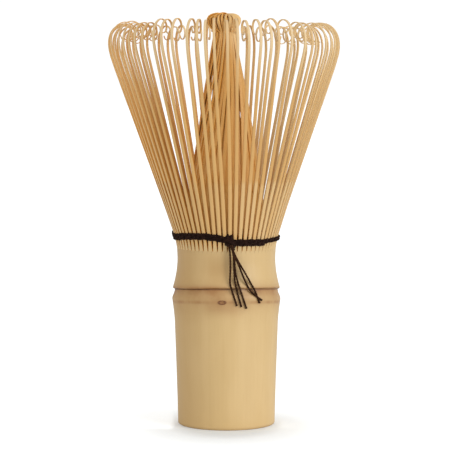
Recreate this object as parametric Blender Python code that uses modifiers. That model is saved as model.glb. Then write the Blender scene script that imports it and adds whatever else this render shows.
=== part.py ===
"""Matcha whisk: one bamboo culm split and carved into two rings of tines, laced with dark thread.

Metres, +Z up. The origin is the middle of the base that the whisk stands on, and the
front, where the thread is knotted, faces -Y. An angle round the whisk is counted from
the front towards +X, and a side is a distance to the right of the front's middle line.
"""

from math import asin, atan2, cos, exp, hypot, pi, radians, sin, tau

import bmesh
import bpy
from mathutils import Vector

# Handle, the culm below the splits; a rise is counted from the feature before it
BASE_RADIUS = 0.01308
BASE_ROUNDING = 0.0004
SWELL_RADIUS = 0.01395
SWELL_HEIGHT = 0.0279
SWELL_STEEPNESS = 1.15
NODE_RISE = 0.0060
NODE_RADIUS = 0.01462
NODE_STEEPNESS = 1.25
SCAR_RISE = 0.0024
SCAR_RADIUS = 0.01393
BROW_RISE = 0.0007
BROW_RADIUS = 0.01444
BROW_STEEPNESS = 1.93
WAIST_RISE = 0.0079
WAIST_RADIUS = 0.01319
RIM_RISE = 0.0018
RIM_RADIUS = 0.0133
BORE_RADIUS = 0.0095
BORE_ROUNDING = 0.0006
CAVITY_RADIUS = 0.0101
DIAPHRAGM_RISE = 0.0003
DIAPHRAGM_THICKNESS = 0.0022
HANDLE_STEPS = 48
CORNER_STEPS = 2
SWELL_RINGS = 3
NODE_RINGS = 4
SCAR_RINGS = 3
BROW_RINGS = 6

# The node and the scar above it slant, highest in front and lowest at the back
NODE_SLANT = 0.0013
SLANT_RISE = 0.0021
SLANT_REACH = 0.0092

# Splints, the culm's wall above the handle: an outer and an inner ring
SPLINTS = 16
TINES_PER_SPLINT = 4
SPLINT_GAP = 0.0003
SLIT_WIDTH = 0.00032
UNSPLIT_HEIGHT = 0.0006
OUTER_WALL = 0.0011
INNER_WALL = 0.0016

# Outer tines, from the root up the skin side
OUTER_LEAN = radians(19.06)
OUTER_BEND_LEAD = 0.0014
OUTER_BEND_EASE = 0.00303
OUTER_BEND_STATIONS = 2
OUTER_STRAIGHT_LENGTH = 0.0509
OUTER_CURL_LENGTH = 0.0231
OUTER_CURL_TURN = radians(350)
OUTER_CURL_TIGHTENING = 2.52
OUTER_CURL_STATIONS = 9
OUTER_SHAVING_LENGTH = 0.0024
OUTER_THICKNESS = 0.00045
OUTER_TOP_THICKNESS = 0.00026
OUTER_TIP_THICKNESS = 0.0002
OUTER_WIDTH = 0.00098
OUTER_TOP_WIDTH = 0.0007
OUTER_TIP_WIDTH = 0.00035

# Inner tines, gathered in nested layers to a neck below a closed knob
NECK_HEIGHT = 0.1035
NECK_RADIUS = 0.00315
NECK_LAYER_STEP = 0.00075
KNOB_RISE = 0.0041
KNOB_RADIUS = 0.0046
KNOB_LAYER_STEP = 0.0010
CROWN_RISE = 0.0027
CROWN_RADIUS = 0.0029
CROWN_LAYER_STEP = 0.0007
CROWN_LAYER_DROP = 0.0009
CROWN_TURN = radians(125)
CROWN_STATIONS = 3
INNER_BOW = 0.0005
INNER_TWIST = radians(24)
INNER_SHAVING_LENGTH = 0.0028
INNER_THICKNESS = 0.0003
INNER_WIDTH = 0.00074
INNER_NECK_WIDTH = 0.0004
INNER_TIP_WIDTH = 0.0002
INNER_MIDDLE_STATIONS = 3

# Thread: its winding round the outer tines, its knot and the loose ends
THREAD_DIAMETER = 0.00045
THREAD_CLEARANCE = 0.00028
WINDING_TURNS = 2
WINDING_RISE = 0.0020
WINDING_PITCH = 0.00088
WINDING_LIFT = 0.0007
LIFT_START = radians(288)
LIFT_END = radians(352)
POINTS_PER_TURN = 24
KNOT_SIDE = 0.0015
KNOT_RISE = 0.0002
KNOT_HALF_WIDTH = 0.00145
KNOT_HALF_HEIGHT = 0.0019
KNOT_DEPTH = 0.0014
KNOT_CLEARANCE = 0.0003
KNOT_SEGMENTS = 16
KNOT_RINGS = 10
TAIL_POINTS_PER_SPAN = 3
TAIL_DROOP = 2

# Loose ends, chosen by hand: each point's side and its drop below the winding, in millimetres
TAIL_ROUTES = (
    ((0.10, 1.1), (0.80, 3.3), (1.12, 6.6), (1.20, 10.1), (1.60, 12.4), (2.75, 16.2)),
    ((0.80, 1.4), (1.60, 3.6), (2.05, 6.6), (2.45, 9.4), (2.95, 12.1), (3.95, 16.5)),
    ((1.50, 1.5), (2.42, 3.9), (2.95, 7.0), (3.50, 9.8), (4.25, 13.2), (5.25, 16.9)),
    ((2.20, 1.4), (3.45, 4.3), (4.85, 7.5), (6.05, 10.2), (7.10, 12.5), (8.50, 15.7)),
    ((2.90, 1.1), (4.40, 4.0), (5.75, 7.0), (6.90, 9.7), (7.90, 12.0), (9.35, 15.0)),
)
MILLIMETRE = 0.001

# Colours are linear RGB
CULM_COLOUR = (0.61, 0.41, 0.19)
SKIN_COLOUR = (0.73, 0.51, 0.26)
PITH_COLOUR = (0.66, 0.40, 0.17)
THREAD_COLOUR = (0.013, 0.006, 0.008)
BAMBOO_ROUGHNESS = 0.5
THREAD_ROUGHNESS = 0.8

FACET_ANGLE = radians(35)
WALK_STEP = 0.0001

NODE_HEIGHT = SWELL_HEIGHT + NODE_RISE
SCAR_HEIGHT = NODE_HEIGHT + SCAR_RISE
BROW_HEIGHT = SCAR_HEIGHT + BROW_RISE
WAIST_HEIGHT = BROW_HEIGHT + WAIST_RISE
RIM_HEIGHT = WAIST_HEIGHT + RIM_RISE
ROOT_HEIGHT = RIM_HEIGHT + SPLINT_GAP
SLIT_HEIGHT = ROOT_HEIGHT + UNSPLIT_HEIGHT
WINDING_HEIGHT = SLIT_HEIGHT + WINDING_RISE
KNOB_HEIGHT = NECK_HEIGHT + KNOB_RISE
CROWN_HEIGHT = KNOB_HEIGHT + CROWN_RISE
INNER_WALL_RADIUS = RIM_RADIUS - OUTER_WALL - SPLINT_GAP
SPLINT_ANGLE = tau / SPLINTS
TINE_ANGLE = SPLINT_ANGLE / TINES_PER_SPLINT


def around(radius, angle, height):
    """The place at this radius and height, at this angle from the front."""
    return Vector((radius * sin(angle), -radius * cos(angle), height))


def clear_scene():
    for obj in list(bpy.data.objects):
        bpy.data.objects.remove(obj, do_unlink=True)


def new_collection(name):
    collection = bpy.data.collections.new(name)
    bpy.context.scene.collection.children.link(collection)
    return collection


def new_material(name, colour, roughness):
    material = bpy.data.materials.new(name)
    material.use_nodes = True
    shader = material.node_tree.nodes["Principled BSDF"]
    shader.inputs["Base Color"].default_value = (*colour, 1)
    shader.inputs["Roughness"].default_value = roughness
    shader.inputs["Metallic"].default_value = 0
    return material


def place_object(name, data, collection, parent=None, turn=0.0):
    obj = bpy.data.objects.new(name, data)
    collection.objects.link(obj)
    obj.parent = parent
    obj.rotation_euler.z = turn
    return obj


def outline_points(start, end, count, fall):
    """Points of an outline between two, where fall says how near each one's radius is to start's."""
    points = []
    for step in range(1, count):
        share = step / count
        radius = end[0] + (start[0] - end[0]) * fall(share)
        points.append((radius, start[1] + (end[1] - start[1]) * share))
    return points


def eased_points(start, end, steepness, count):
    """Points of an outline that leaves start steeply and settles at end."""
    return outline_points(start, end, count, lambda share: (1 - share) ** steepness)


def rounded_points(start, end, count):
    """Points of an outline that leaves start upright and meets end upright."""
    return outline_points(start, end, count, lambda share: (1 + cos(pi * share)) / 2)


def rounded_corner(centre, size, turn):
    """The arc of an outline that starts at a centre's right and turns up, or down if negative."""
    points = []
    for step in range(CORNER_STEPS + 1):
        angle = turn * step / CORNER_STEPS
        points.append((centre[0] + size * cos(angle), centre[1] + size * sin(angle)))
    return points


def handle_outside():
    """The culm's outline as (radius, height), from the rim down to the base."""
    rim = (RIM_RADIUS, RIM_HEIGHT)
    waist = (WAIST_RADIUS, WAIST_HEIGHT)
    brow = (BROW_RADIUS, BROW_HEIGHT)
    scar = (SCAR_RADIUS, SCAR_HEIGHT)
    node = (NODE_RADIUS, NODE_HEIGHT)
    swell = (SWELL_RADIUS, SWELL_HEIGHT)
    foot = rounded_corner((BASE_RADIUS - BASE_ROUNDING, BASE_ROUNDING), BASE_ROUNDING, -pi / 2)
    outline = [rim, waist, *reversed(eased_points(brow, waist, BROW_STEEPNESS, BROW_RINGS)), brow]
    outline += [scar, *reversed(rounded_points(node, scar, SCAR_RINGS)), node]
    outline += [*eased_points(node, swell, NODE_STEEPNESS, NODE_RINGS), swell]
    return [*outline, *eased_points(swell, foot[0], SWELL_STEEPNESS, SWELL_RINGS), *foot]


def node_slant(height, angle):
    """How far the slanting node lifts the culm's skin at a height and an angle from the front."""
    away = (height - NODE_HEIGHT - SLANT_RISE) / SLANT_REACH
    if abs(away) >= 1:
        return 0
    return NODE_SLANT * cos(angle) * cos(away * pi / 2) ** 2


def handle_radius(height, angle):
    """The culm's outer radius at a height and an angle, for what lies on it."""
    level = height - node_slant(height, angle)
    level = height - node_slant(level, angle)
    outline = handle_outside()
    for upper, lower in zip(outline, outline[1:]):
        if lower[1] <= level <= upper[1]:
            share = (level - lower[1]) / (upper[1] - lower[1])
            return lower[0] + (upper[0] - lower[0]) * share
    return RIM_RADIUS


def handle_profile():
    """Half a section of the culm, closed at the axis by its diaphragm."""
    floor = NODE_HEIGHT + DIAPHRAGM_RISE
    top = floor + DIAPHRAGM_THICKNESS
    cavity = [(0, top), (CAVITY_RADIUS, top), (CAVITY_RADIUS, RIM_HEIGHT)]
    ceiling = rounded_corner((BORE_RADIUS - BORE_ROUNDING, floor - BORE_ROUNDING), BORE_ROUNDING, pi / 2)
    return [*cavity, *handle_outside(), (BORE_RADIUS, 0), *ceiling, (0, floor)]


def slant_skin(handle):
    """Keeps the turned shape as a mesh and tilts the node on its skin; the hollows stay level."""
    turned = handle.evaluated_get(bpy.context.evaluated_depsgraph_get())
    mesh = bpy.data.meshes.new_from_object(turned)
    wall_middle = (CAVITY_RADIUS + WAIST_RADIUS) / 2
    for vert in mesh.vertices:
        if hypot(vert.co.x, vert.co.y) > wall_middle:
            vert.co.z += node_slant(vert.co.z, atan2(vert.co.x, -vert.co.y))
    mesh.shade_smooth()
    mesh.set_sharp_from_angle(angle=FACET_ANGLE)
    handle.modifiers.clear()
    handle.data = mesh


def make_handle(collection, material):
    points = [(radius, 0, height) for radius, height in handle_profile()]
    edges = [(index, index + 1) for index in range(len(points) - 1)]
    mesh = bpy.data.meshes.new("handle")
    mesh.from_pydata(points, edges, [])
    mesh.materials.append(material)
    handle = place_object("handle", mesh, collection)
    screw = handle.modifiers.new("Turn", "SCREW")
    screw.steps = HANDLE_STEPS
    screw.render_steps = HANDLE_STEPS
    screw.use_merge_vertices = True
    screw.merge_threshold = 0.00001
    screw.use_smooth_shade = False
    slant_skin(handle)


def outer_heading(distance):
    """How far an outer tine leans out from upright, at a distance along its skin."""
    bend = 1 - exp(-(distance + OUTER_BEND_LEAD) / OUTER_BEND_EASE)
    curl = max(distance - OUTER_STRAIGHT_LENGTH, 0) / OUTER_CURL_LENGTH
    return OUTER_LEAN * bend - OUTER_CURL_TURN * curl**OUTER_CURL_TIGHTENING


def walk_outer(distance):
    """The radius and height of an outer tine's skin, at a distance from the slit's end."""
    steps = max(round(distance / WALK_STEP), 1)
    step = distance / steps
    radius, height = RIM_RADIUS, SLIT_HEIGHT
    for index in range(steps):
        heading = outer_heading((index + 0.5) * step)
        radius += step * sin(heading)
        height += step * cos(heading)
    return radius, height


def outer_skin_radius(height):
    """The outer tines' skin radius at a height below their curl."""
    low, high = 0, OUTER_STRAIGHT_LENGTH
    while high - low > WALK_STEP / 10:
        middle = (low + high) / 2
        if walk_outer(middle)[1] < height:
            low = middle
        else:
            high = middle
    return walk_outer(low)[0]


def blend(start, end, share):
    return start + (end - start) * min(max(share, 0), 1)


def outer_stations():
    """Each section of an outer tine: radius, height, heading, width, thickness and twist."""
    distances = [OUTER_SHAVING_LENGTH]
    for _ in range(OUTER_BEND_STATIONS):
        distances.append(distances[-1] + OUTER_BEND_EASE)
    distances += [(distances[-1] + OUTER_STRAIGHT_LENGTH) / 2, OUTER_STRAIGHT_LENGTH]
    for index in range(OUTER_CURL_STATIONS + 1):
        turned = min((index + 0.5) / OUTER_CURL_STATIONS, 1)
        share = turned ** (1 / OUTER_CURL_TIGHTENING)
        distances.append(OUTER_STRAIGHT_LENGTH + OUTER_CURL_LENGTH * share)
    stations = []
    for distance in distances:
        radius, height = walk_outer(distance)
        rise = distance / OUTER_STRAIGHT_LENGTH
        curl = (distance - OUTER_STRAIGHT_LENGTH) / OUTER_CURL_LENGTH
        width = blend(blend(OUTER_WIDTH, OUTER_TOP_WIDTH, rise), OUTER_TIP_WIDTH, curl)
        thickness = blend(OUTER_THICKNESS, OUTER_TOP_THICKNESS, rise)
        thickness = blend(thickness, OUTER_TIP_THICKNESS, curl)
        stations.append((radius, height, outer_heading(distance), width, thickness, 0))
    return stations


def inner_line(layer):
    """An inner tine's skin from the slit's end to its tip, as (radius, height, twist, width)."""
    neck_radius = NECK_RADIUS - NECK_LAYER_STEP * layer
    knob_radius = KNOB_RADIUS - KNOB_LAYER_STEP * layer
    crown_radius = CROWN_RADIUS - CROWN_LAYER_STEP * layer
    crown_height = CROWN_HEIGHT - CROWN_LAYER_DROP * layer
    knob_height = KNOB_HEIGHT - CROWN_LAYER_DROP * layer
    first = INNER_SHAVING_LENGTH / (NECK_HEIGHT - SLIT_HEIGHT)
    shares = [0, first]
    for index in range(1, INNER_MIDDLE_STATIONS + 1):
        shares.append(blend(first, 1, index / INNER_MIDDLE_STATIONS))
    line = []
    for share in shares:
        radius = blend(INNER_WALL_RADIUS, neck_radius, share) + INNER_BOW * sin(pi * share)
        height = blend(SLIT_HEIGHT, NECK_HEIGHT, share)
        width = blend(INNER_WIDTH, INNER_NECK_WIDTH, share)
        line.append((radius, height, INNER_TWIST * share**2, width))
    flare = ((neck_radius + knob_radius) / 2, (NECK_HEIGHT + knob_height) / 2)
    line.append((*flare, INNER_TWIST, INNER_NECK_WIDTH))
    for index in range(CROWN_STATIONS + 1):
        share = index / CROWN_STATIONS
        turn = CROWN_TURN * share
        radius = crown_radius + (knob_radius - crown_radius) * cos(turn)
        height = knob_height + (crown_height - knob_height) * sin(turn)
        width = blend(INNER_NECK_WIDTH, INNER_TIP_WIDTH, share)
        line.append((radius, height, INNER_TWIST, width))
    return line


def inner_stations(layer):
    line = inner_line(layer)
    stations = []
    for index in range(1, len(line)):
        before = line[index - 1]
        after = line[min(index + 1, len(line) - 1)]
        heading = atan2(after[0] - before[0], after[1] - before[1])
        radius, height, twist, width = line[index]
        stations.append((radius, height, heading, width, INNER_THICKNESS, twist))
    return stations


def root_slice(bm, outer_radius, wall):
    """A slice of the culm's wall under its tines; returns the faces that the tines grow from."""
    cells = 2 * TINES_PER_SPLINT - 1
    slit_angle = SLIT_WIDTH / (outer_radius - wall)
    bmesh.ops.create_grid(bm, x_segments=cells, y_segments=1, size=0.5)
    for vert in bm.verts:
        column = round((vert.co.x + 0.5) * cells)
        tine = column // 2
        side = 1 if column % 2 else -1
        angle = tine_angle(tine) + side * (TINE_ANGLE - slit_angle) / 2
        radius = outer_radius if vert.co.y > 0 else outer_radius - wall
        vert.co = around(radius, angle, ROOT_HEIGHT)
    floor = list(bm.faces)
    raised = bmesh.ops.extrude_face_region(bm, geom=floor)["geom"]
    for vert in raised:
        if isinstance(vert, bmesh.types.BMVert):
            vert.co.z = SLIT_HEIGHT
    tops = [face for face in raised if isinstance(face, bmesh.types.BMFace)]
    tops.sort(key=face_angle)
    return tops[::2]


def tine_layer(tine):
    """Every other inner tine lies in the outermost layer, and the rest one layer deeper each."""
    return (tine + 1) // 2 if tine % 2 else 0


def tine_angle(tine):
    return (tine - (TINES_PER_SPLINT - 1) / 2) * TINE_ANGLE


def face_angle(face):
    middle = face.calc_center_median()
    return atan2(middle.x, -middle.y)


def corner_place(station, angle, side, on_skin):
    """One corner of a tine's section, on its left or right side and on its skin or inner face."""
    radius, height, heading, width, thickness, twist = station
    depth = 0 if on_skin else thickness
    out = radius - depth * cos(heading)
    rise = height + depth * sin(heading)
    across = around(1, angle + twist + pi / 2, 0) * side * width / 2
    return around(out, angle + twist, rise) + across


def grow_tine(bm, face, angle, stations):
    """Extrudes a root face section by section along a tine."""
    middle = face.calc_center_median()
    across = around(1, angle + pi / 2, 0)
    reach = hypot(middle.x, middle.y)
    corners = []
    for vert in face.verts:
        side = 1 if (vert.co - middle).dot(across) > 0 else -1
        corners.append((side, hypot(vert.co.x, vert.co.y) > reach))
    for station in stations:
        face = bmesh.ops.extrude_discrete_faces(bm, faces=[face])["faces"][0]
        for vert, (side, on_skin) in zip(face.verts, corners):
            vert.co = corner_place(station, angle, side, on_skin)


def splint_mesh(name, outer_radius, wall, tines, material):
    bm = bmesh.new()
    roots = root_slice(bm, outer_radius, wall)
    for tine, face in enumerate(roots):
        grow_tine(bm, face, tine_angle(tine), tines[tine])
    bmesh.ops.recalc_face_normals(bm, faces=bm.faces)
    mesh = bpy.data.meshes.new(name)
    bm.to_mesh(mesh)
    bm.free()
    mesh.materials.append(material)
    mesh.shade_smooth()
    mesh.set_sharp_from_angle(angle=FACET_ANGLE)
    return mesh


def make_splints(collection, skin, pith):
    """Both rings of splints, each copy turned about the whisk's axis by its own empty."""
    tines = [outer_stations()] * TINES_PER_SPLINT
    layers = [inner_stations(tine_layer(tine)) for tine in range(TINES_PER_SPLINT)]
    outer_mesh = splint_mesh("outer_splint", RIM_RADIUS, OUTER_WALL, tines, skin)
    inner_mesh = splint_mesh("inner_splint", INNER_WALL_RADIUS, INNER_WALL, layers, pith)
    axis = place_object("whisk_axis", None, collection)
    for index in range(SPLINTS):
        turn = SPLINT_ANGLE * (index + 0.5)
        place_object(f"outer_splint_{index + 1:02d}", outer_mesh, collection, axis, turn)
        place_object(f"inner_splint_{index + 1:02d}", inner_mesh, collection, axis, turn)


def thread_tube(name, points, collection, material):
    curve = bpy.data.curves.new(name, "CURVE")
    curve.dimensions = "3D"
    curve.bevel_depth = THREAD_DIAMETER / 2
    curve.bevel_resolution = 1
    curve.use_fill_caps = True
    spline = curve.splines.new("POLY")
    spline.points.add(len(points) - 1)
    for target, place in zip(spline.points, points):
        target.co = (*place, 1)
    curve.materials.append(material)
    return place_object(name, curve, collection)


def strand_radius(height):
    """The winding's centre line round the outer tines, clear of them also between its points."""
    reach = outer_skin_radius(height + THREAD_DIAMETER / 2) + THREAD_CLEARANCE + THREAD_DIAMETER / 2
    return reach / cos(pi / POINTS_PER_TURN)


def winding_lift(angle):
    """How much higher the winding runs on the left of the front than its even pitch would."""
    share = (angle % tau - LIFT_START) / (LIFT_END - LIFT_START)
    return WINDING_LIFT * sin(pi * share) if 0 < share < 1 else 0


def knot_centre():
    height = WINDING_HEIGHT + WINDING_PITCH + KNOT_RISE
    radius = strand_radius(height) + THREAD_DIAMETER / 2 + KNOT_CLEARANCE + KNOT_DEPTH / 2
    return radius, asin(KNOT_SIDE / radius), height


def knot_face(height):
    """Half the knot's width at a height."""
    rise = (height - knot_centre()[2]) / KNOT_HALF_HEIGHT
    return KNOT_HALF_WIDTH * (1 - rise**2) ** 0.5


def winding_points():
    """Two turns round the tines, whose ends swing out to meet the knot's sides squarely."""
    knot_radius, knot_angle, _ = knot_centre()
    step = tau / POINTS_PER_TURN
    last = WINDING_TURNS * POINTS_PER_TURN
    end_height = WINDING_HEIGHT + WINDING_PITCH * WINDING_TURNS
    points = [*knot_end(1, WINDING_HEIGHT)]
    for index in range(1, last):
        angle = knot_angle + step * index
        height = WINDING_HEIGHT + WINDING_PITCH * index / POINTS_PER_TURN + winding_lift(angle)
        points.append(around(strand_radius(height), angle, height))
    return points + [*reversed(knot_end(-1, end_height))]


def knot_end(side, height):
    """The last diameter of thread beside the knot, square to its face."""
    radius, angle, _ = knot_centre()
    start = knot_face(height) + KNOT_CLEARANCE
    across = around(1, angle + pi / 2, 0) * side
    face = around(radius, angle, height)
    return [face + across * start, face + across * (start + THREAD_DIAMETER)]


def least_self_gap(points):
    """The clear space between one turn of the winding and the next."""
    least = None
    for index, point in enumerate(points):
        for other in points[index + POINTS_PER_TURN // 2 :]:
            gap = (point - other).length - THREAD_DIAMETER
            least = gap if least is None else min(least, gap)
    return least


def smooth_route(route):
    """Points of a smooth curve through a route's own points."""
    ends = [route[0] * 2 - route[1], *route, route[-1] * 2 - route[-2]]
    points = []
    for index in range(1, len(ends) - 2):
        a, b, c, d = ends[index - 1 : index + 3]
        for part in range(TAIL_POINTS_PER_SPAN):
            t = part / TAIL_POINTS_PER_SPAN
            place = 2 * b + (c - a) * t + (2 * a - 5 * b + 4 * c - d) * t**2
            points.append((place + (3 * b - a - 3 * c + d) * t**3) / 2)
    return [*points, route[-1]]


def thread_seat(radius):
    """Where a loose end's middle lies over something of this radius."""
    return radius + THREAD_CLEARANCE + THREAD_DIAMETER / 2


def tail_points(route):
    """A loose end's line, hanging from the knot past the waist and lying over the node."""
    knot_radius = knot_centre()[0]
    brow_height = BROW_HEIGHT + NODE_SLANT
    places = [Vector((side * MILLIMETRE, WINDING_HEIGHT - drop * MILLIMETRE)) for side, drop in route]
    line = smooth_route(places)
    points = []
    for side, height in line:
        hang = (height - brow_height) / (line[0].y - brow_height)
        slack = (knot_radius - thread_seat(BROW_RADIUS)) * max(hang, 0) ** TAIL_DROOP
        angle = asin(side / knot_radius)
        radius = max(thread_seat(handle_radius(height, angle)), thread_seat(BROW_RADIUS) + slack)
        points.append(around(radius, asin(side / radius), height))
    return points


def make_knot(collection, material):
    """The tied lump in front of the winding, taller than it is wide."""
    radius, angle, height = knot_centre()
    bm = bmesh.new()
    bmesh.ops.create_uvsphere(bm, u_segments=KNOT_SEGMENTS, v_segments=KNOT_RINGS, radius=1)
    for vert in bm.verts:
        vert.co.x *= KNOT_HALF_WIDTH
        vert.co.y *= KNOT_DEPTH / 2
        vert.co.z *= KNOT_HALF_HEIGHT
    mesh = bpy.data.meshes.new("thread_knot")
    bm.to_mesh(mesh)
    bm.free()
    mesh.materials.append(material)
    mesh.shade_smooth()
    knot = place_object("thread_knot", mesh, collection, turn=angle)
    knot.location = around(radius, angle, height)


def make_thread(collection, material):
    winding = winding_points()
    thread_tube("thread_winding", winding, collection, material)
    print(f"least gap of the winding to itself: {least_self_gap(winding) * 1000:.3f} mm")
    make_knot(collection, material)
    for index, route in enumerate(TAIL_ROUTES):
        thread_tube(f"thread_tail_{index + 1}", tail_points(route), collection, material)


def make_whisk():
    clear_scene()
    collection = new_collection("matcha_whisk")
    culm = new_material("culm", CULM_COLOUR, BAMBOO_ROUGHNESS)
    skin = new_material("tine_skin", SKIN_COLOUR, BAMBOO_ROUGHNESS)
    pith = new_material("tine_pith", PITH_COLOUR, BAMBOO_ROUGHNESS)
    thread = new_material("thread", THREAD_COLOUR, THREAD_ROUGHNESS)
    make_handle(collection, culm)
    make_splints(collection, skin, pith)
    make_thread(collection, thread)
    bpy.context.view_layer.update()


make_whisk()
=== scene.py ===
import random
from math import asin, atan2, cos, exp, pi, radians, sin, tau

import bpy
from mathutils import Matrix, Vector


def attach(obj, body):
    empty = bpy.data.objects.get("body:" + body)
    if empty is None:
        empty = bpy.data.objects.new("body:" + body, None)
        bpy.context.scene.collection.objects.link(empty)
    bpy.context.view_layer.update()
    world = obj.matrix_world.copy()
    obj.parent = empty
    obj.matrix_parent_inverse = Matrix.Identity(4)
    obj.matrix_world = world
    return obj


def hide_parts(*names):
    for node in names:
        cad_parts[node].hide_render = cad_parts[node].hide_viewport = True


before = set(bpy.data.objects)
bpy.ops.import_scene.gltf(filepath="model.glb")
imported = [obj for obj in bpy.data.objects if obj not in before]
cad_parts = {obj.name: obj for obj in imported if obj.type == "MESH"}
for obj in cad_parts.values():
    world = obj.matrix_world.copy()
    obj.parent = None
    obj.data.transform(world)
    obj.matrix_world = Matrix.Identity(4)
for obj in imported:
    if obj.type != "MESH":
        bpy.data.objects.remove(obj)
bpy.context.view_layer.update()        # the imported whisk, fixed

mm = 0.001
random.seed(64)


# small helpers

def deselectAll():
    bpy.ops.object.select_all(action="DESELECT")


def pick(*objects):
    deselectAll()
    for obj in objects:
        obj.select_set(True)
    bpy.context.view_layer.objects.active = objects[-1]    # the last one is the active object


def applyPlace(obj):
    pick(obj)
    bpy.ops.object.transform_apply(location=True, rotation=True, scale=True)


def joinAll(objects, name):
    pick(*objects)
    if len(objects) > 1:
        bpy.ops.object.join()
    whole = bpy.context.object
    whole.name = whole.data.name = name
    return whole


def openMesh():
    bpy.ops.object.mode_set(mode="EDIT")
    bpy.ops.mesh.select_all(action="SELECT")


# ends an edit with every face turned outward
def closeMesh():
    bpy.ops.mesh.select_all(action="SELECT")
    bpy.ops.mesh.normals_make_consistent(inside=False)
    bpy.ops.object.mode_set(mode="OBJECT")


def polyLine(name, points, dimensions="3D"):
    curve = bpy.data.curves.new(name, "CURVE")
    curve.dimensions = dimensions
    curve.twist_mode = "MINIMUM"
    spline = curve.splines.new("POLY")
    spline.points.add(len(points) - 1)
    for target, point in zip(spline.points, points):
        target.co = (*point, 1)
    line = bpy.data.objects.new(name, curve)
    bpy.context.scene.collection.objects.link(line)
    return line


def finishPiece(piece, slotName, *nodes):
    applyPlace(piece)
    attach(piece, "root")
    if nodes:
        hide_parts(*nodes)


# rows given in millimetres, as tuples in metres
def inMetres(*rows):
    return [tuple(value * mm for value in row) for row in rows]


def mix(start, end, share):
    return start + (end - start) * min(max(share, 0), 1)


def smooth(share):
    share = min(max(share, 0), 1)
    return share * share * (3 - 2 * share)


def even(share):
    return share


def power(exponent):
    return lambda share: share**exponent


# tuples on the way from start to end, the end included; each bend says how one of the values gets there
def between(start, end, count, *bends):
    shares = [step / count for step in range(1, count + 1)]
    return [tuple(mix(a, b, bend(share)) for a, b, bend in zip(start, end, bends)) for share in shares]


# camera, where the photograph was taken from

cameraSettings = {
    "distance": 540 * mm,
    "eyeHeight": 93.5 * mm,
    "lens": 160.1,
    "aimSide": -0.1 * mm,
    "pitch": radians(4.246),
}


def addCamera(cfg):
    bpy.ops.object.camera_add(
        location=(cfg["aimSide"], -cfg["distance"], cfg["eyeHeight"]),
        rotation=(pi / 2 - cfg["pitch"], 0, 0),
    )
    camera = bpy.context.object
    camera.name = "photoCamera"
    camera.data.lens = cfg["lens"]
    camera.data.sensor_width = 36
    camera.data.clip_start = 0.01
    bpy.context.scene.camera = camera
    print("camera placed")


addCamera(cameraSettings)


# node helpers for the materials

class NodeKit:
    def __init__(self, name):
        self.material = bpy.data.materials.new(name)
        self.material.use_nodes = True
        self.tree = self.material.node_tree
        self.shader = self.tree.nodes["Principled BSDF"]

    # an input takes another node's socket or a plain value
    def feed(self, node, inputs):
        for key, value in inputs.items():
            if isinstance(value, bpy.types.NodeSocket):
                self.tree.links.new(value, node.inputs[key])
            else:
                node.inputs[key].default_value = value

    def add(self, kind, inputs=None, **values):
        node = self.tree.nodes.new(kind)
        for key, value in values.items():
            setattr(node, key, value)
        self.feed(node, inputs or {})
        return node

    # feeds the surface's own shader and gives the finished material
    def paint(self, inputs):
        self.feed(self.shader, inputs)
        return self.material

    def math(self, operation, first, second=0.0, clamp=False):
        node = self.add("ShaderNodeMath", {0: first, 1: second}, operation=operation, use_clamp=clamp)
        return node.outputs[0]

    def times(self, first, second):
        return self.math("MULTIPLY", first, second)

    def plus(self, first, second):
        return self.math("ADD", first, second)

    def minus(self, first, second):
        return self.math("SUBTRACT", first, second)

    # how far a value is from another, whichever is the greater
    def gap(self, first, second=0.0):
        return self.math("ABSOLUTE", self.minus(first, second))

    def place(self, source="Object"):
        return self.add("ShaderNodeTexCoord").outputs[source]

    # a vector's X, Y and Z
    def apart(self, vector):
        return self.add("ShaderNodeSeparateXYZ", {0: vector}).outputs

    def length(self, vector):
        return self.add("ShaderNodeVectorMath", {0: vector}, operation="LENGTH").outputs["Value"]

    def stretched(self, vector, scale, offset=(0, 0, 0)):
        inputs = {"Vector": vector, "Scale": scale, "Location": offset}
        return self.add("ShaderNodeMapping", inputs).outputs["Vector"]

    # scale is one number, or one for each axis
    def noise(self, vector, scale, detail=3.0, roughness=0.5):
        if isinstance(scale, tuple):
            vector, scale = self.stretched(vector, scale), 1.0
        inputs = {"Vector": vector, "Scale": scale, "Detail": detail, "Roughness": roughness}
        return self.add("ShaderNodeTexNoise", inputs).outputs["Fac"]

    def span(self, value, low, high, outLow=0.0, outHigh=1.0):
        inputs = {"Value": value, "From Min": low, "From Max": high, "To Min": outLow, "To Max": outHigh}
        return self.add("ShaderNodeMapRange", inputs, interpolation_type="SMOOTHSTEP").outputs["Result"]

    # 1 at the middle, falling to 0 at a width to each side
    def bell(self, value, middle, width):
        return self.span(self.gap(value, middle), 0.0, width, 1.0, 0.0)

    # stops are (value, level), read in a straight line from one to the next
    def levels(self, value, stops):
        low, high = stops[0][0], stops[-1][0]
        across = self.math("DIVIDE", self.minus(value, low), high - low)
        ramp = self.add("ShaderNodeValToRGB", {"Fac": across})
        for index, (place, level) in enumerate(stops):
            share = (place - low) / (high - low)
            if 0 < index < len(stops) - 1:
                stop = ramp.color_ramp.elements.new(share)
            else:
                stop = ramp.color_ramp.elements[0 if index == 0 else -1]
            stop.position = share
            stop.color = (level, level, level, 1)
        return ramp.outputs["Color"]

    def blend(self, factor, first, second):
        return self.add("ShaderNodeMix", {0: factor, 6: first, 7: second}, data_type="RGBA").outputs[2]

    def bump(self, height, distance, strength):
        node = self.add("ShaderNodeBump", {"Height": height, "Distance": distance, "Strength": strength})
        self.feed(self.shader, {"Normal": node.outputs["Normal"]})


# studio: white floor, soft light from the front right, a little from the left

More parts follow.
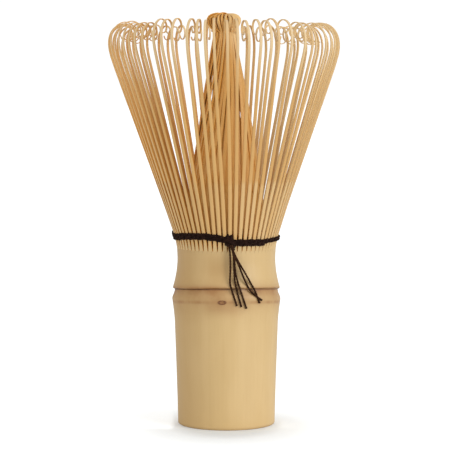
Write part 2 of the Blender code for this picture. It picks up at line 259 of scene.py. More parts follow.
studioSettings = {
    "floorHalf": 6.0,
    "floorColor": (0.885, 0.925, 0.955, 1),
    "worldColor": (1.0, 1.0, 1.0, 1),
    "worldStrength": 0.66,
    "backdropStrength": 1.05,
    # the paper's glow by distance from a point in front of the whisk, where its shade lies
    "shadeMiddle": (0, 8 * mm, 0),
    "shadeScale": (1.2, 1, 0),
    "glow": [(8 * mm, 0.0), (11.5 * mm, 0.01), (14 * mm, 0.06), (16.5 * mm, 0.13), (18 * mm, 0.19),
             (22 * mm, 0.24), (27 * mm, 0.32), (36 * mm, 0.44)],
    "besideGlow": (0.42, 0.27),     # left and right of the whisk, where there is hardly any shade
    "bareEdge": (12.3 * mm, 15.5 * mm),     # it begins between these, out from the middle
    "bareDepth": (-17 * mm, -7 * mm),       # and between these, from the front to the back
    # each light: strength, degrees to the right of the front, degrees up, softness in degrees, warmth
    "keyLight": (1.42, 53, 16, 34),
    "fillLight": (0.42, -55, 20, 45, 0.3),
}


def addSoftLight(name, strength, aside, up, softness, warmth=0.0):
    bpy.ops.object.light_add(type="SUN", rotation=(radians(90 - up), 0, radians(aside)))
    light = bpy.context.object
    light.name = name
    light.data.energy = strength
    light.data.angle = radians(softness)
    light.data.color = (1.0, 1.0 - 0.3 * warmth, 1.0 - warmth)


# white paper; to the camera it glows a little, least where the whisk shades it
def paperPaint(cfg):
    kit = NodeKit("studioPaper")
    place = kit.place()
    glow = kit.levels(kit.length(kit.stretched(place, cfg["shadeScale"], cfg["shadeMiddle"])), cfg["glow"])
    apart = kit.apart(place)
    edge, depth = kit.span(kit.gap(apart["X"]), *cfg["bareEdge"]), kit.span(apart["Y"], *cfg["bareDepth"])
    beside = kit.times(kit.times(edge, depth), kit.span(apart["X"], -10 * mm, 10 * mm, *cfg["besideGlow"]))
    seen = kit.add("ShaderNodeLightPath").outputs["Is Camera Ray"]
    glow = kit.times(seen, kit.math("MAXIMUM", glow, beside))
    return kit.paint({
        "Base Color": cfg["floorColor"], "Roughness": 0.9, "Specular IOR Level": 0.1,
        "Emission Color": (1, 1, 1, 1), "Emission Strength": glow,
    })


def addStudio(cfg):
    bpy.ops.mesh.primitive_plane_add(size=2 * cfg["floorHalf"], location=(0, 0, 0))
    floor = bpy.context.object
    floor.name = "floor"
    floor.data.materials.append(paperPaint(cfg))
    world = bpy.data.worlds.new("studioLight")
    world.use_nodes = True
    nodes, links = world.node_tree.nodes, world.node_tree.links
    background = nodes["Background"]
    background.inputs["Color"].default_value = cfg["worldColor"]
    seen = nodes.new("ShaderNodeLightPath")
    level = nodes.new("ShaderNodeMapRange")
    level.inputs["To Min"].default_value = cfg["worldStrength"]
    level.inputs["To Max"].default_value = cfg["backdropStrength"]
    links.new(seen.outputs["Is Camera Ray"], level.inputs["Value"])
    links.new(level.outputs["Result"], background.inputs["Strength"])
    bpy.context.scene.world = world
    addSoftLight("keyLight", *cfg["keyLight"])
    addSoftLight("fillLight", *cfg["fillLight"])
    bpy.context.scene.view_settings.view_transform = "Standard"
    bpy.context.scene.view_settings.look = "None"
    print("studio lit")


addStudio(studioSettings)


# culm: the handle turned ring by ring from its bore round to its cavity

culmSettings = {
    "columns": 192,
    # radius and height; the base's height is also how far its edge is rounded
    "base": (13.08 * mm, 0.35 * mm),
    "swell": (13.95 * mm, 27.9 * mm),
    "node": (14.62 * mm, 33.9 * mm),
    "scar": (13.93 * mm, 36.3 * mm),
    "lip": (14.44 * mm, 37.0 * mm),
    "waist": (13.19 * mm, 44.9 * mm),
    "top": (13.32 * mm, 47.6 * mm),
    "topWall": 3.1 * mm,
    "boreRadius": 9.5 * mm,
    "diaphragmLow": 34.0 * mm,
    "diaphragmHigh": 36.2 * mm,
    "slant": 1.3 * mm,          # the node stands this much higher in front than at its sides
    "slantMiddle": 36 * mm,
    "slantReach": 5.5 * mm,
    "slantRadius": 14.4 * mm,   # how far out the skin is there, for the paint
    "waver": 0.15 * mm,
    "waverReach": 3.2 * mm,
    "nodeUneven": 0.0035,       # shares of the radius
    "outOfRound": 0.0012,
    "slits": 64,
    # how each stretch bends: 1 is straight, more is flatter where it starts, and the waist where it ends
    "swellPower": 1.15,
    "nodePower": 1.25,
    "scarPower": 0.8,
    "waistPower": 1.93,
    # the groove under the lip: radius and height, counted from the scar, then from the lip
    "groove": inMetres((-0.05, 0.14), (0.16, 0.27)),
    "lipEdge": inMetres((-0.05, -0.24), (0, 0)),
    "hub": 0.6 * mm,            # the small disc that closes the diaphragm, above and below
    "grain": (0.635, 0.434, 0.191, 1),
    "grainPatch": (0.68, 0.473, 0.219, 1),
    "grainStrand": (0.58, 0.38, 0.153, 1),
    "grainFibre": (0.54, 0.34, 0.13, 1),
    "nodeBrown": (0.30, 0.105, 0.018, 1),
    # brown of the painted shadow that the loose ends cast on the waist
    "tailShadowBrown": (0.36, 0.165, 0.03, 1),
    # warm brown for the painted shade on the left side, away from the key light
    "leftShadeBrown": (0.45, 0.25, 0.075, 1),
    "scarBrown": (0.11, 0.042, 0.012, 1),
    "slitBrown": (0.22, 0.09, 0.025, 1),
    # brown for the painted contact shade at the foot
    "footShadeBrown": (0.42, 0.26, 0.11, 1),
    "pith": (0.64, 0.46, 0.25, 1),
    "pithPale": (0.73, 0.55, 0.33, 1),
    "pithDots": (0.27, 0.14, 0.06, 1),
    # the node's stain by height: strongest just under the sheath's scar; at the lip, above the groove, it is
    # also painted shade
    "nodeStainAndLipShade": [(26.5 * mm, 0.0), (29.4 * mm, 0.06), (31.6 * mm, 0.2), (33.4 * mm, 0.38), (34.6 * mm, 0.49),
              (35.9 * mm, 0.72), (36.3 * mm, 0.85), (36.8 * mm, 0.75), (37.1 * mm, 0.48), (37.4 * mm, 0.3),
              (38.0 * mm, 0.14), (39.6 * mm, 0.0)],
    # patches in front: side and height of the middle, half width inside and outside, half height, strength
    "smudge": (-0.6 * mm, 31.8 * mm, 1 * mm, 8.5 * mm, 4 * mm, 0.3),
    # the painted shadow that the loose ends cast on the waist, to their left
    "tailShadow": (-1.6 * mm, 43 * mm, 0.8 * mm, 6.5 * mm, 7 * mm, 0.4),
    # height and half width of the dark lines
    "scarLine": (36.43 * mm, 0.34 * mm),
    "nodeLine": (33.0 * mm, 0.75 * mm),
    # from and to, and the level at each; across is from the left to the right
    "stainAcross": (-11 * mm, 9 * mm, 1.35, 0.82),
    # painted shade on the left side: inward from the left edge, and up from the node
    "leftShadeAcross": (-13 * mm, -2 * mm, 0.62, 0.0),
    "leftShadeUp": (36 * mm, 41 * mm, 0.65, 1.0),
    "scarAcross": (2 * mm, 9 * mm, 1.0, 0.75),
    "slitEnds": (46.1 * mm, 48.1 * mm, -0.01, 0.07),
    "footShadeEdge": (0.1 * mm, 0.9 * mm, 0.6, 0.0),
}


# radius and height of each ring outside, from the base up to where the slits end
def culmOutside(cfg):
    base, swell, node = cfg["base"], cfg["swell"], cfg["node"]
    scar, lip, waist = cfg["scar"], cfg["lip"], cfg["waist"]
    rings = []
    for step in range(4):
        turn = pi / 2 * step / 3
        rings.append((base[0] - base[1] * (1 - sin(turn)), base[1] * (1 - cos(turn))))
    rings += between(base, swell, 10, power(cfg["swellPower"]), even)
    rings += between(swell, node, 8, power(cfg["nodePower"]), even)
    above = (node[0], node[1] + 0.2 * mm)
    rings += between(above, scar, 6, lambda share: smooth(share) ** cfg["scarPower"], even)
    rings += [(scar[0] + out, scar[1] + up) for out, up in cfg["groove"]]
    rings += [(lip[0] + out, lip[1] + up) for out, up in cfg["lipEdge"]]
    rings += between(lip, waist, 12, lambda share: 1 - (1 - share) ** cfg["waistPower"], even)
    rings += between(waist, cfg["top"], 2, lambda share: 0.38 if share < 1 else 1, even)
    return rings


# how far the slanting node lifts a point; facing is 1 in front and -1 at the back
def nodeSlant(height, facing):
    cfg = culmSettings
    return cfg["slant"] * facing * exp(-(((height - cfg["slantMiddle"]) / cfg["slantReach"]) ** 2))


def culmRadius(height, facing):
    level = height - nodeSlant(height, facing)
    level = height - nodeSlant(level, facing)
    rings = culmOutside(culmSettings)
    for lower, upper in zip(rings, rings[1:]):
        if lower[1] <= level <= upper[1]:
            return mix(lower[0], upper[0], (level - lower[1]) / (upper[1] - lower[1]))
    return skinRadius(level) if level > rings[-1][1] else rings[0][0]


# extrudes a circle from ring to ring, and closes both ends with a small disc
def turnRings(name, rings, columns):
    deselectAll()
    radius, height = rings[0]
    bpy.ops.mesh.primitive_circle_add(
        vertices=columns, radius=radius, fill_type="NGON", location=(0, 0, height)
    )
    piece = bpy.context.object
    piece.name = name
    applyPlace(piece)
    openMesh()
    bpy.ops.mesh.select_mode(type="EDGE")
    for nextRadius, nextHeight in rings[1:]:
        bpy.ops.mesh.extrude_edges_move(TRANSFORM_OT_translate={"value": (0, 0, nextHeight - height)})
        ratio = nextRadius / radius
        bpy.ops.transform.resize(value=(ratio, ratio, 1), center_override=(0, 0, nextHeight))
        radius, height = nextRadius, nextHeight
    bpy.ops.mesh.edge_face_add()
    closeMesh()
    bpy.ops.object.shade_smooth_by_angle(angle=radians(40))
    return piece


# the culm's skin, also on the roots of the outer tines; returns its color and its two grains
def skinColor(kit, place):
    cfg = culmSettings
    fibre = kit.noise(place, (2600, 2600, 26), 4.0, 0.6)
    strand = kit.noise(place, (520, 520, 9))
    patch = kit.noise(place, (110, 110, 38), 2.0)
    color = kit.blend(kit.span(patch, 0.35, 0.68), cfg["grain"], cfg["grainPatch"])
    color = kit.blend(kit.span(strand, 0.42, 0.7, 0.0, 0.2), color, cfg["grainStrand"])
    color = kit.blend(kit.span(fibre, 0.5, 0.8, 0.0, 0.2), color, cfg["grainFibre"])
    return color, fibre, strand


# how strongly a patch in front is painted
def frontPatch(kit, side, depth, height, patch):
    middle, level, inside, outside, reach, strength = patch
    across = kit.span(kit.gap(side, middle), inside, outside, 1.0, 0.0)
    cover = kit.times(across, kit.bell(height, level, reach))
    return kit.times(cover, kit.span(depth, -4 * mm, 0.0, strength, 0.0))


def culmPaint(cfg):
    kit = NodeKit("culmSkin")
    place = kit.place()
    apart = kit.apart(place)
    side, depth, height = apart["X"], apart["Y"], apart["Z"]
    # the height counted along the slanting node
    level = kit.plus(height, kit.times(depth, cfg["slant"] / cfg["slantRadius"]))
    color, fibre, strand = skinColor(kit, place)
    # brown stain round the node, with painted shade at the lip above the groove, then a smudge under the bud
    cloud = kit.noise(place, (150, 150, 130), 3.0, 0.55)
    wander = kit.times(kit.minus(cloud, 0.5), 1.0 * mm)
    nodeStainAndLipShade = kit.levels(kit.plus(level, wander), cfg["nodeStainAndLipShade"])
    nodeStainAndLipShade = kit.times(nodeStainAndLipShade, kit.span(cloud, 0.3, 0.72, 0.6, 1.25))
    nodeStainAndLipShade = kit.times(nodeStainAndLipShade, kit.span(side, *cfg["stainAcross"]))
    color = kit.blend(kit.math("MINIMUM", nodeStainAndLipShade, 1.0), color, cfg["nodeBrown"])
    color = kit.blend(frontPatch(kit, side, depth, level, cfg["smudge"]), color, cfg["nodeBrown"])
    # painted shadow of the loose ends on the waist, to their left, and painted warm shade over the whole left
    # side, away from the key light
    color = kit.blend(frontPatch(kit, side, depth, height, cfg["tailShadow"]), color, cfg["tailShadowBrown"])
    leftShade = kit.times(kit.span(side, *cfg["leftShadeAcross"]), kit.span(height, *cfg["leftShadeUp"]))
    color = kit.blend(leftShade, color, cfg["leftShadeBrown"])
    # the dark line under the sheath's lip, and the softer one at the node
    lineCloud = kit.noise(place, (260, 260, 60), 3.0, 0.6)
    scar = kit.times(kit.bell(level, *cfg["scarLine"]), kit.span(lineCloud, 0.28, 0.6, 0.6, 0.95))
    scar = kit.times(scar, kit.span(side, *cfg["scarAcross"]))
    color = kit.blend(scar, color, cfg["scarBrown"])
    ridge = kit.times(kit.bell(level, *cfg["nodeLine"]), kit.span(lineCloud, 0.36, 0.66, 0.12, 0.55))
    color = kit.blend(ridge, color, cfg["nodeBrown"])
    # hairline ends of the slits, fading down from the tines' roots
    turns = kit.times(kit.math("ARCTAN2", side, depth), cfg["slits"] / tau)
    offset = kit.gap(kit.math("FRACT", kit.plus(turns, 100.5)), 0.5)
    ragged = kit.times(kit.minus(lineCloud, 0.5), 1.4 * mm)
    opening = kit.span(kit.plus(height, ragged), *cfg["slitEnds"])
    crack = kit.math("MULTIPLY", kit.minus(opening, offset), 16, clamp=True)
    color = kit.blend(kit.times(crack, 0.9), color, cfg["slitBrown"])
    # painted contact shade along the foot, darkest at its bottom edge
    color = kit.blend(kit.span(height, *cfg["footShadeEdge"]), color, cfg["footShadeBrown"])
    relief = kit.plus(kit.times(fibre, 0.7), kit.times(strand, 0.6))
    kit.bump(kit.minus(relief, kit.times(crack, 1.2)), 0.05 * mm, 0.35)
    return kit.paint({
        "Base Color": color, "Roughness": kit.span(fibre, 0.2, 0.8, 0.42, 0.56),
        "Coat Weight": 0.06, "Coat Roughness": 0.35,
    })


# sawn end and bore: pale pith with the darker dots of cut fibre bundles
def culmEndPaint(cfg):
    kit = NodeKit("culmEnd")
    place = kit.place()
    cells = kit.add("ShaderNodeTexVoronoi", {"Vector": kit.stretched(place, (1900, 1900, 120)), "Scale": 1.0})
    dots = kit.span(cells.outputs["Distance"], 0.16, 0.42, 1.0, 0.0)
    reach = kit.length(kit.stretched(place, (1, 1, 0)))
    dense = kit.span(reach, 9.3 * mm, 13.0 * mm, 0.25, 0.9)
    grain = kit.noise(place, (700, 700, 60), 3.0, 0.6)
    color = kit.blend(kit.span(grain, 0.3, 0.7), cfg["pith"], cfg["pithPale"])
    color = kit.blend(kit.times(dots, dense), color, cfg["pithDots"])
    kit.bump(kit.plus(grain, dots), 0.06 * mm, 0.5)
    return kit.paint({"Base Color": color, "Roughness": 0.75})


def addCulm(cfg):
    hub, bore, under, high = cfg["hub"], cfg["boreRadius"], cfg["diaphragmLow"], cfg["diaphragmHigh"]
    # up from the bore's roof to its rim, round the outside, and down the cavity to the diaphragm
    rings = [(hub, under + 0.5 * mm), (5.5 * mm, under + 0.35 * mm), (bore - 1.1 * mm, under),
             (bore - 0.2 * mm, under - 0.5 * mm), (bore, under - 1.6 * mm), (bore, 16 * mm),
             (bore, 0.25 * mm), (bore + 0.2 * mm, 0)]
    rings += culmOutside(cfg)
    topRadius, topHeight = cfg["top"]
    inner = topRadius - cfg["topWall"]
    rings += [(topRadius - 0.02 * mm, topHeight + 0.01 * mm), (inner, topHeight),
              (inner, high + 0.9 * mm), (inner - 0.9 * mm, high), (4 * mm, high - 0.2 * mm),
              (hub, high - 0.3 * mm)]
    culm = turnRings("culmHandle", rings, cfg["columns"])
    # a grown thing: the node and its scar waver a little as they go round
    for vertex in culm.data.vertices:
        if vertex.co.to_2d().length < bore + 1.2 * mm:
            continue
        angle = atan2(vertex.co.x, -vertex.co.y)
        near = exp(-(((vertex.co.z - cfg["slantMiddle"]) / cfg["waverReach"]) ** 2))
        vertex.co.z += nodeSlant(vertex.co.z, cos(angle))
        vertex.co.z += near * cfg["waver"] * (sin(angle * 2 + 0.6) + 0.5 * sin(angle * 5 + 2.1))
        swell = 1 + near * cfg["nodeUneven"] * sin(angle * 3 + 1.0) + cfg["outOfRound"] * sin(angle * 2 + 0.4)
        vertex.co.x *= swell
        vertex.co.y *= swell
    culm.data.materials.append(culmPaint(cfg))
    culm.data.materials.append(culmEndPaint(cfg))
    outer = cfg["base"][0] - cfg["base"][1] - 0.3 * mm
    for polygon in culm.data.polygons:
        middle = polygon.center
        inside = middle.to_2d().length < outer and middle.z < topHeight - 0.2 * mm
        if inside or abs(polygon.normal.z) > 0.98:
            polygon.material_index = 1
    finishPiece(culm, "bamboo_culm", "handle")
    print("culm turned")


addCulm(culmSettings)


# tines: a straight blank is drawn up section by section, then each copy is bent along its own line

# sections are (distance, width, thickness); the skin side is the plane y = 0, and -Y is outward
def tineBlank(name, sections, bevel, skin, split):
    deselectAll()
    bpy.ops.mesh.primitive_plane_add(size=1 * mm, location=(0, 0.5 * mm, 0))
    blank = bpy.context.object
    blank.name = name
    applyPlace(blank)
    openMesh()
    distance, width, thickness = sections[0]
    bpy.ops.transform.resize(value=(width / mm, thickness / mm, 1), center_override=(0, 0, 0))
    bpy.ops.mesh.bevel(offset=bevel, affect="VERTICES", segments=1)
    for nextDistance, nextWidth, nextThickness in sections[1:]:
        rise = nextDistance - distance
        bpy.ops.mesh.extrude_region_move(TRANSFORM_OT_translate={"value": (0, 0, rise)})
        bpy.ops.transform.resize(
            value=(nextWidth / width, nextThickness / thickness, 1), center_override=(0, 0, nextDistance)
        )
        distance, width, thickness = nextDistance, nextWidth, nextThickness
    closeMesh()
    strip = blank.data.uv_layers.new(name="alongTine")
    for loop in blank.data.loops:
        corner = blank.data.vertices[loop.vertex_index].co
        strip.data[loop.index].uv = ((corner.x + corner.y) / mm, corner.z / mm)
    blank.data.attributes.new(name="tone", type="FLOAT", domain="POINT")
    blank.data.materials.append(skin)
    blank.data.materials.append(split)
    for polygon in blank.data.polygons:
        polygon.material_index = 0 if polygon.normal.y < -0.85 else 1
    bpy.ops.object.shade_smooth_by_angle(angle=radians(38))
    return blank


# copies a blank and bends it along points of (radius, side, height); the line lies along X, where a curve's
# frame starts steadily, and standAt stands the tine up again
def bendAlong(blank, name, points, tone):
    pick(blank)
    bpy.ops.object.duplicate(linked=False)
    tine = bpy.context.object
    tine.name = tine.data.name = name
    line = polyLine("bendLine", [(height, side, -radius) for radius, side, height in points])
    bend = tine.modifiers.new("Bend", "CURVE")
    bend.object = line
    bend.deform_axis = "POS_Z"
    pick(tine)
    bpy.ops.object.modifier_apply(modifier="Bend")
    bpy.data.curves.remove(line.data)       # the line goes with it
    for value in tine.data.attributes["tone"].data:
        value.value = tone
    sideways = round(tone * 1000) * 3.7     # so that no two tines have the same grain
    for corner in tine.data.uv_layers["alongTine"].data:
        corner.uv.x += sideways
    return tine


# angles here and in innerSettings are in degrees
outerSettings = {
    "count": 64,
    "perSplint": 4,
    "firstAngle": 0.7,          # in pitches, counted from the front
    "rootHeight": 47.6 * mm,
    "rootRadius": 13.32 * mm,
    "lean": 19.3,
    "leanScatter": 0.22,
    "bendLead": 1.4 * mm,       # the bend starts this far below the root
    "bendEase": 3.03 * mm,      # and eases off over a few of these
    "straight": 50.9 * mm,
    "leftTrim": 0.5 * mm,       # the tines at the sides turn over this much sooner
    "rightTrim": 1.3 * mm,
    "rightSlack": 3.4 * mm,     # and those on the right in a wider curl
    "rightEase": 0.32,
    "frontSpread": 1.7,
    "frontTight": 0.11,         # those in front in a tighter one, that starts higher
    "frontLift": 1.7 * mm,
    "curl": 23.1 * mm,
    "curlScatter": 0.025,
    "curlTurn": 350,
    "turnScatter": 12,
    "tightening": 2.52,
    "tighteningScatter": 0.09,
    "drift": 0.12 * mm,
    "skew": 0.5 * mm,
    "bow": 0.25 * mm,
    # width and thickness by distance where the splint's wall is shaved down to the tine
    "shaving": inMetres((0, 1.25, 1.2), (0.4, 1.19, 1.2), (1.0, 1.08, 1.05), (1.7, 0.98, 0.85),
                        (2.5, 0.92, 0.72), (4.5, 0.9, 0.56)),
    "thickness": 0.56 * mm,
    "topThickness": 0.4 * mm,
    "tipThickness": 0.19 * mm,
    "midHeight": 12 * mm,
    "midWidth": 1.0 * mm,
    "topWidth": 0.72 * mm,
    "tipWidth": 0.36 * mm,
    "curlSections": 30,
    "bevel": 0.09 * mm,
    "length": 74.0 * mm,
    # how far each sways to the right at the top, in millimetres, from the front round by the right
    "sway": [-1.5, -1.9, -1.9, -1.9, -1.8, -2.9, -2, -0.6, -0.8, -1.5, -0.4, 0, -0.1, 0, -0.1, 0.2,
             -0.1, 0.1, -0.1, -0.4, -0.4, -0.1, -2, -2.9, 0.3, -0.1, -1, -1.1, -1.5, -0.9, -0.2, 0,
             0, 0, 0.1, 0.7, 0.3, 0.6, 0.7, 0, 0, 0.1, 0.1, 0.3, 0.3, 0.1, 0, 0.3,
             0.2, 0, 0, 0.4, 0.4, 0, 0.3, -0.3, -0.3, 0.3, -0.4, -0.2, 0.7, 0, -1, -1.6],
    "face": {
        "name": "tineSkin", "root": (0.71, 0.445, 0.17, 1), "upper": (0.74, 0.45, 0.16, 1),
        "side": (0.67, 0.37, 0.11, 1), "shaved": (0.79, 0.60, 0.35, 1), "thin": (88 * mm, 105 * mm),
        "likeCulm": True,
    },
    "split": {
        "name": "tineSplit", "root": (0.51, 0.21, 0.025, 1), "upper": (0.63, 0.29, 0.045, 1),
        "side": (0.54, 0.22, 0.025, 1), "shaved": (0.79, 0.55, 0.26, 1), "thin": (74 * mm, 101 * mm),
        # painted light: the flanks on the right, which lie in shade, are painted paler
        "paler": (0.5, 1.0, 0.95),
    },
}


def outerSections(cfg):
    middle = (cfg["midHeight"], cfg["midWidth"], cfg["thickness"])
    top = (cfg["straight"], cfg["topWidth"], cfg["topThickness"])
    tip = (cfg["length"], cfg["tipWidth"], cfg["tipThickness"])
    rise = between(middle, top, 8, even, even, even)
    curl = between(top, tip, cfg["curlSections"], power(0.55), power(1.1), power(0.55))
    return [*cfg["shaving"], middle, *rise, *curl]


def tineAngle(cfg, index):
    return (index + cfg["firstAngle"]) * tau / cfg["count"]


# a tine's lean from upright: it bends out of the splint, goes straight up and curls over inward
def outerHeading(distance, cfg, lean, turn=0.0, straight=1.0, curl=1.0, tightening=1.0):
    bent = 1 - exp(-(distance + cfg["bendLead"]) / cfg["bendEase"])
    curled = max(distance - straight, 0) / curl
    return lean * bent - turn * curled**tightening


# one tine's line as (radius, side, height), from its root to past its tip, and its tone
def outerLine(cfg, index):
    angle = tineAngle(cfg, index)
    stray, sway = random.uniform(-1, 1) * cfg["drift"], cfg["sway"][index] * mm
    left, right = min(sin(angle), 0) ** 2, max(sin(angle), 0) ** 2
    front = smooth(cfg["frontSpread"] * max(cos(angle), 0) ** 2)
    straight = cfg["straight"] - cfg["leftTrim"] * left - cfg["rightTrim"] * right + cfg["frontLift"] * front
    lean = radians(cfg["lean"] + random.uniform(-1, 1) * cfg["leanScatter"])
    curl = (cfg["curl"] + cfg["rightSlack"] * right**2) * (1 - cfg["frontTight"] * front)
    curl *= 1 + random.uniform(-1, 1) * cfg["curlScatter"]
    turn = radians(cfg["curlTurn"] + random.uniform(-1, 1) * cfg["turnScatter"])
    tightening = cfg["tightening"] - cfg["rightEase"] * right
    tightening += random.uniform(-1, 1) * cfg["tighteningScatter"]
    skew = random.uniform(-1, 1) * cfg["skew"]
    bow = random.uniform(-1, 1) * cfg["bow"]
    steps = 240
    step = (cfg["length"] + 2 * mm) / steps
    radius, height = cfg["rootRadius"], cfg["rootHeight"]
    points = [(radius, 0.0, height)]
    for part in range(steps):
        distance = (part + 0.5) * step
        heading = outerHeading(distance, cfg, lean, turn, straight, curl, tightening)
        radius += step * sin(heading)
        height += step * cos(heading)
        rise = distance / cfg["length"]
        curled = max(distance - straight, 0) / curl
        pull = smooth(rise * 1.1)
        side = (stray + sway * cos(angle)) * pull + bow * sin(pi * rise) * smooth(rise * 6) + skew * curled**2
        points.append((radius + sway * sin(angle) * pull, side, height))
    return points, random.random()


# stands a bent tine up at its angle, counted from the front towards +X
def standAt(tine, angle):
    tine.rotation_euler = (0, -pi / 2, angle - pi / 2)
    applyPlace(tine)


# what all the tines share
head = {
    "leanAngle": radians(-0.6),     # the whole head leans a little to the left
    "pivot": Vector((0, 0, 50 * mm)),
    "leanStart": 49 * mm,
    "leanReach": 6 * mm,
    "paleRoot": (65.4 * mm, 66.8 * mm),     # the heights between which the pale root gives way
    "fibre": (0.50, 0.24, 0.065, 1),
    # painted light and shade on the skin at the right, where the key light falls: paler at the roots, browner
    # higher up
    "rightRootPaintedLight": (0.71, 0.465, 0.205, 1),   # the skin at the right is paler low and browner high
    "rightUpperPaintedShade": (0.63, 0.355, 0.115, 1),
    "rightSide": (-8 * mm, 10 * mm),
    "culmSkin": (48.3 * mm, 51 * mm),       # the heights between which the culm's own skin gives way
}


# root, upper, side and shaved are colors, and thin the heights between which the wood gets pale because it is
# shaved thin; the three shares of the last argument say how much it pales there on the left and on the right,
# and how much on the right at any height: the paler right is painted light on flanks that lie in shade
def tinePaint(name, root, upper, side, shaved, thin, paler=(0.85, 0.85, 0.0), likeCulm=False):
    kit = NodeKit(name)
    strip = kit.place("UV")
    place = kit.place()
    apart = kit.apart(place)
    tone = kit.add("ShaderNodeAttribute", attribute_name="tone").outputs["Fac"]
    fibre = kit.noise(strip, (7, 0.1, 1), 4.0, 0.6)
    band = kit.noise(strip, (1.1, 0.055, 1), 2.0)
    high = kit.span(kit.plus(apart["Z"], kit.times(tone, 0.8 * mm)), *head["paleRoot"])
    # painted light and shade at the right, on the skin like the culm's
    if likeCulm:
        turned = kit.span(apart["X"], *head["rightSide"])
        root = kit.blend(turned, root, head["rightRootPaintedLight"])
        upper = kit.blend(turned, upper, head["rightUpperPaintedShade"])
    color = kit.blend(high, root, upper)
    color = kit.blend(kit.span(tone, 0.0, 1.0, 0.0, 0.5), color, side)
    color = kit.blend(kit.span(band, 0.42, 0.72, 0.0, 0.4), color, side)
    color = kit.blend(kit.span(fibre, 0.5, 0.78, 0.0, 0.4), color, head["fibre"])
    left, right, paintedLightRight = paler
    share = kit.times(kit.span(apart["X"], -14 * mm, 14 * mm, left, right), kit.span(apart["Z"], *thin))
    share = kit.times(share, kit.span(tone, 0.4, 1.1, 1.0, 0.5))
    # painted light: on the right the pale color is laid on at any height, lighting flanks that lie in shade
    share = kit.math("MAXIMUM", share, kit.span(apart["X"], 2 * mm, 12 * mm, 0.0, paintedLightRight))
    color = kit.blend(share, color, shaved)
    if likeCulm:
        color = kit.blend(kit.span(apart["Z"], *head["culmSkin"]), skinColor(kit, place)[0], color)
    kit.bump(fibre, 0.04 * mm, 0.4)
    return kit.paint({"Base Color": color, "Roughness": kit.span(fibre, 0.2, 0.8, 0.42, 0.6)})


def leanHead(pieces):
    lean = Matrix.Translation(head["pivot"]) @ Matrix.Rotation(head["leanAngle"], 4, "Y")
    lean = lean @ Matrix.Translation(-head["pivot"])
    for piece in pieces:
        for vertex in piece.data.vertices:
            share = smooth((vertex.co.z - head["leanStart"]) / head["leanReach"])
            if share > 0:
                vertex.co = vertex.co.lerp(lean @ vertex.co, share)


# all the tines of one ring, joined four by four into its splints
def addTines(cfg, ring, slotName, sections, drawLine):
    face, split = tinePaint(**cfg["face"]), tinePaint(**cfg["split"])
    blank = tineBlank(f"{ring}Blank", sections, cfg["bevel"], face, split)
    pieces = []
    for splint in range(cfg["count"] // cfg["perSplint"]):
        tines = []
        for part in range(cfg["perSplint"]):
            index = splint * cfg["perSplint"] + part
            tine = bendAlong(blank, f"{ring}Tine{index:02d}", *drawLine(cfg, index))
            standAt(tine, tineAngle(cfg, index))
            tines.append(tine)
        pieces.append(joinAll(tines, f"{ring}Splint{splint + 1:02d}"))
    bpy.data.objects.remove(blank)
    leanHead(pieces)
    for index, piece in enumerate(pieces):
        finishPiece(piece, slotName, f"{ring}_splint_{index + 1:02d}")
    print(f"{ring} tines bent:", cfg["count"])


addTines(outerSettings, "outer", "bamboo_skin", outerSections(outerSettings), outerLine)


# inner tines: gathered to a neck, each curling inward over the middle, so that together they make the knob

innerSettings = {
    "count": 64,
    "perSplint": 4,
    "firstAngle": 0.5,
    "rootHeight": 47.6 * mm,
    "rootRadius": 11.85 * mm,
    "neckHeight": 104.4 * mm,
    # a splint's four tines lie in layers; the deeper ones are painted browner, as painted shade inside the
    # bundle
    "neckRadii": [2.85 * mm, 2.3 * mm, 2.6 * mm, 1.7 * mm],
    "neckScatter": 0.15 * mm,
    "layerTones": [0.0, 0.45, 0.2, 0.7],
    "bow": 0.55 * mm,
    "bowRange": (0.6, 1.4),
    "twist": 40,
    "twistScatter": 8,
    "flare": 0.85,
    "curl": 15.0 * mm,
    "curlRange": (0.9, 1.04),
    "curlTurn": 300,
    "turnScatter": 25,
    "tightening": 1.35,
    "lilt": 1.5 * mm,           # how far a tip strays sideways in the knob
    "shaving": inMetres((0, 1.08, 1.4), (1.2, 1.02, 1.2), (2.6, 0.98, 0.6), (4.5, 0.98, 0.36)),
    "thickness": 0.36 * mm,
    "topThickness": 0.22 * mm,
    "width": 1.2 * mm,
    "neckWidth": 0.64 * mm,
    "tipWidth": 0.5 * mm,
    "bevel": 0.08 * mm,
    "length": 73.5 * mm,
    # the shaved colors, pale at the knob's top, are partly painted light that brightens the knob's own shade
    "face": {
        "name": "tinePith", "root": (0.65, 0.36, 0.09, 1), "upper": (0.72, 0.385, 0.1, 1),
        "side": (0.62, 0.29, 0.045, 1), "shaved": (0.80, 0.54, 0.235, 1), "thin": (96 * mm, 107 * mm),
    },
    "split": {
        "name": "tineDeep", "root": (0.64, 0.31, 0.05, 1), "upper": (0.68, 0.31, 0.04, 1),
        "side": (0.62, 0.23, 0.022, 1), "shaved": (0.80, 0.43, 0.1, 1), "thin": (99 * mm, 109 * mm),
    },
}


def innerSections(cfg):
    shaved = (cfg["shaving"][-1][0], cfg["width"], cfg["thickness"])
    neck = (cfg["neckHeight"] - cfg["rootHeight"], cfg["neckWidth"], cfg["topThickness"])
    tip = (cfg["length"], cfg["tipWidth"], cfg["topThickness"])
    rise = between(shaved, neck, 13, even, even, even)
    return [*cfg["shaving"], *rise, *between(neck, tip, 22, even, power(1.5), even)]


